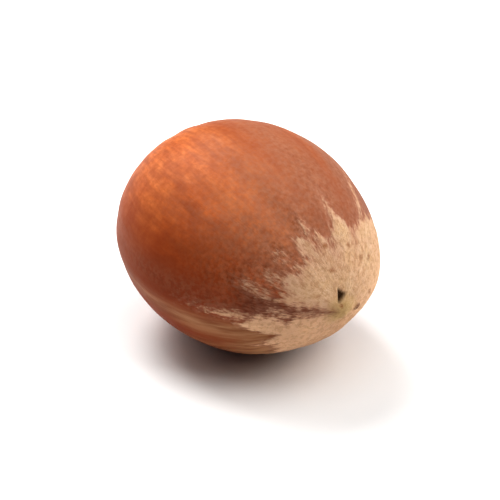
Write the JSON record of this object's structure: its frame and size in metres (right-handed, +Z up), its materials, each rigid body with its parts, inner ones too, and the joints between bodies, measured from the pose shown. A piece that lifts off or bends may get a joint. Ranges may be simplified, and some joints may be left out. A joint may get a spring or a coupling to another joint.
{
  "type": "hazelnut",
  "caption": "Hazelnut in its shell, rounded and slightly flattened, with a domed base scar and a pale downy tip, lying on its side on a small flat spot.",
  "frame": {"origin": "on the surface that the nut rests on, under the middle of its bounding box", "axes": "+X along the nut, level, from its base scar towards its tip; +Y across the nut; +Z up, away from the surface"},
  "size_m": [0.0224, 0.021, 0.0182],
  "materials": {
    "shell": "satin woody shell, orange-brown, with fine lengthwise streaks, a matte pale buff down at the tip and a matte tan scar at the base"
  },
  "bodies": {
    "root": {"hazelnut": "shell"}
  },
  "joints": []
}
